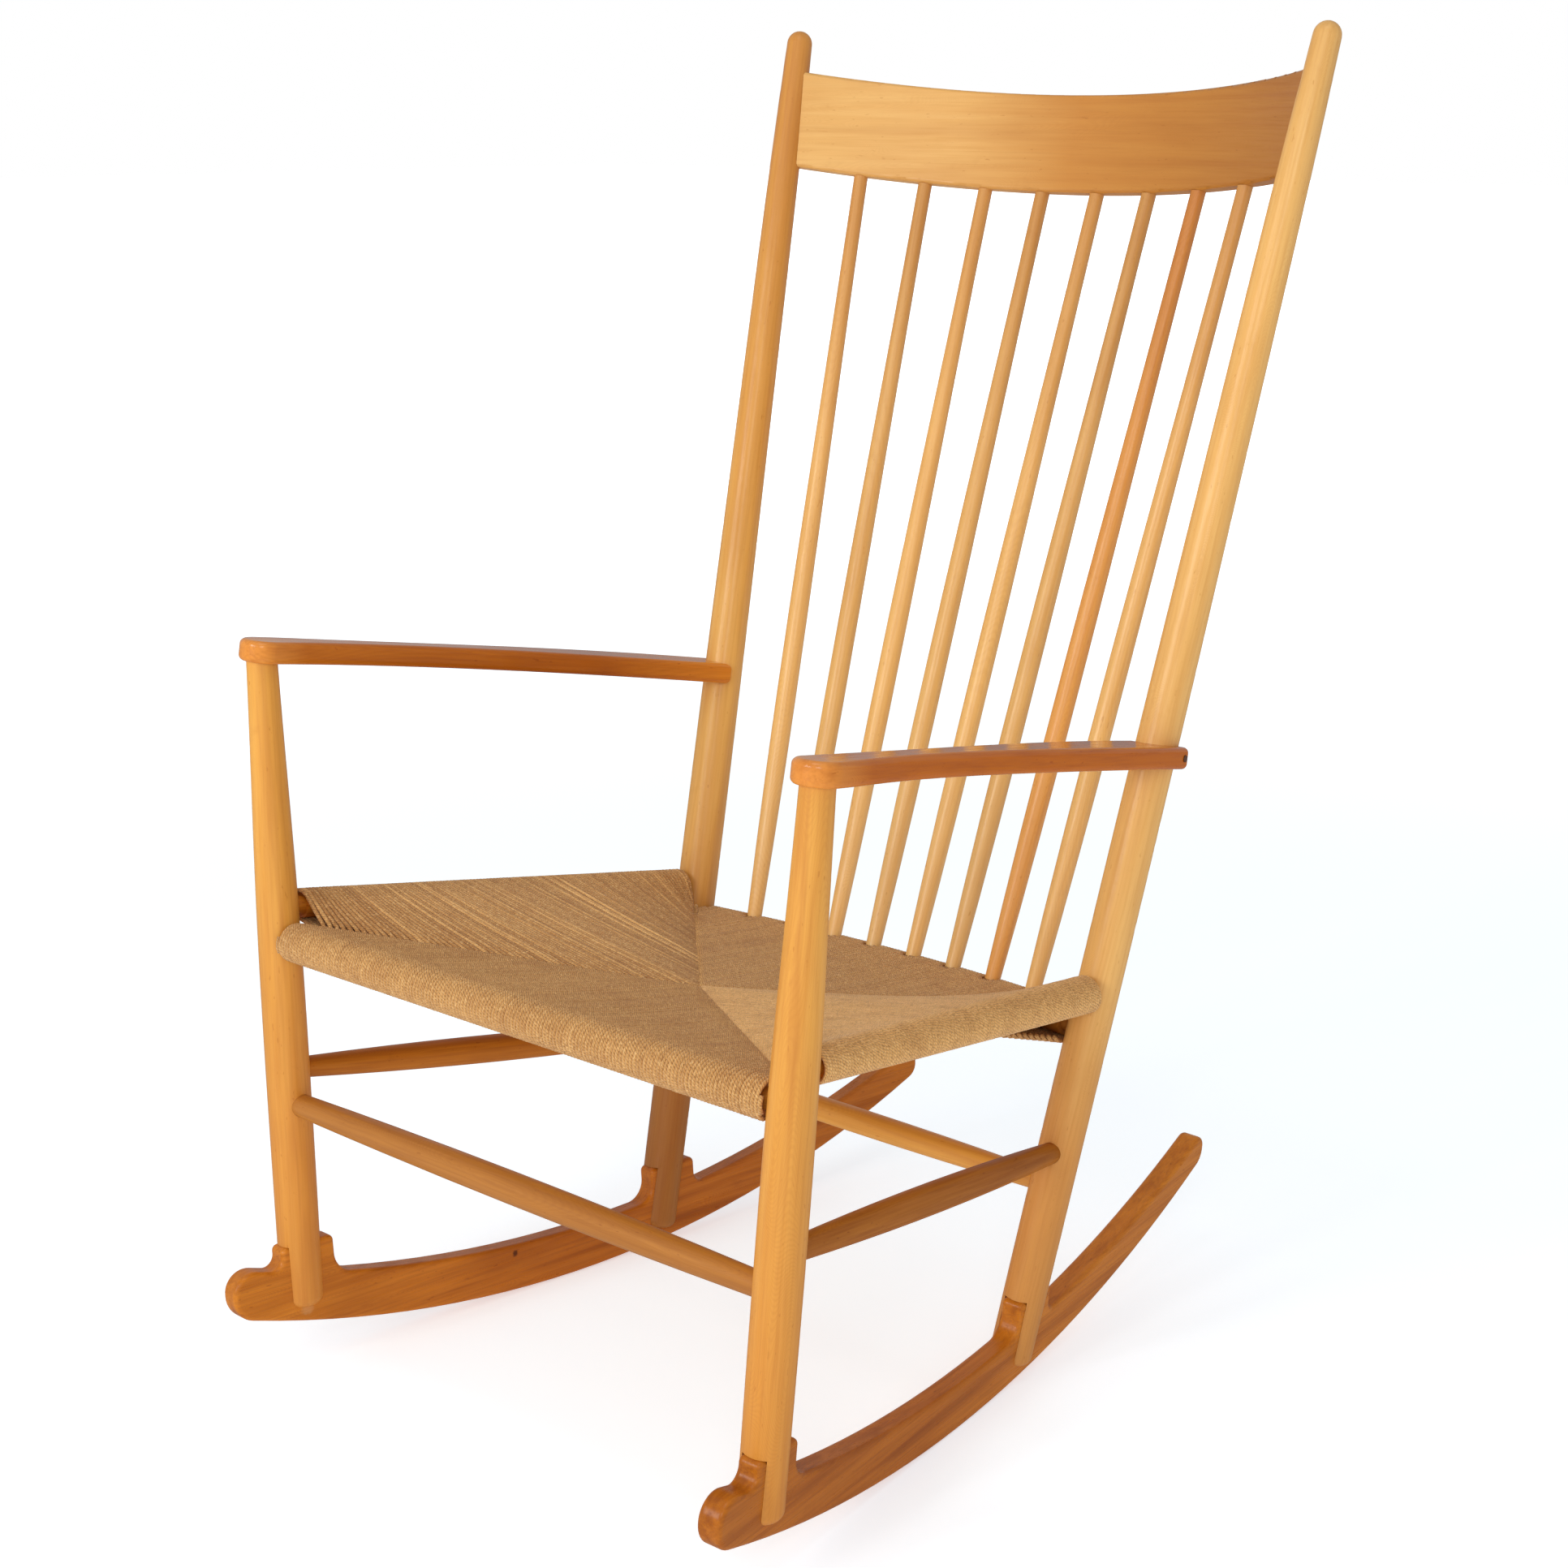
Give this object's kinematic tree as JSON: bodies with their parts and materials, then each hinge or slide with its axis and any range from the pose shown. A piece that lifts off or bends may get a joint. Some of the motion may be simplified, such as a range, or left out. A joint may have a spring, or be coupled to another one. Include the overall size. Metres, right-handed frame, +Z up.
{
  "type": "rocking chair",
  "caption": "High-backed wooden rocking chair with turned posts and spindles, a bent crest rail, flat arms, sawn rockers and a woven cord seat.",
  "frame": {"origin": "on the floor, in the mirror plane, under the middle of the rockers", "axes": "+Z up, the sitter looks along -Y, +X is the sitter's left"},
  "size_m": [0.613, 0.7755, 1.069],
  "materials": {
    "honey_wood": "satin",
    "amber_wood": "satin",
    "dark_dowel": "satin",
    "paper_cord": "matte"
  },
  "bodies": {
    "root": {"arm_dowel_left": "dark_dowel", "arm_dowel_right": "dark_dowel", "arm_left": "amber_wood", "arm_right": "amber_wood", "back_post_left": "honey_wood", "back_post_right": "honey_wood", "crest_rail": "honey_wood", "front_leg_left": "honey_wood", "front_leg_right": "honey_wood", "rocker_left": "amber_wood", "rocker_right": "amber_wood", "seat_cord_weave": "paper_cord", "seat_rail_front": "honey_wood", "seat_rail_left": "honey_wood", "seat_rail_rear": "honey_wood", "seat_rail_right": "honey_wood", "spindle_1": "honey_wood", "spindle_2": "honey_wood", "spindle_3": "honey_wood", "spindle_4": "honey_wood", "spindle_5": "honey_wood", "spindle_6": "honey_wood", "spindle_7": "honey_wood", "spindle_8": "honey_wood", "stretcher_front": "honey_wood", "stretcher_left": "honey_wood", "stretcher_rear": "honey_wood", "stretcher_right": "honey_wood"}
  },
  "joints": []
}
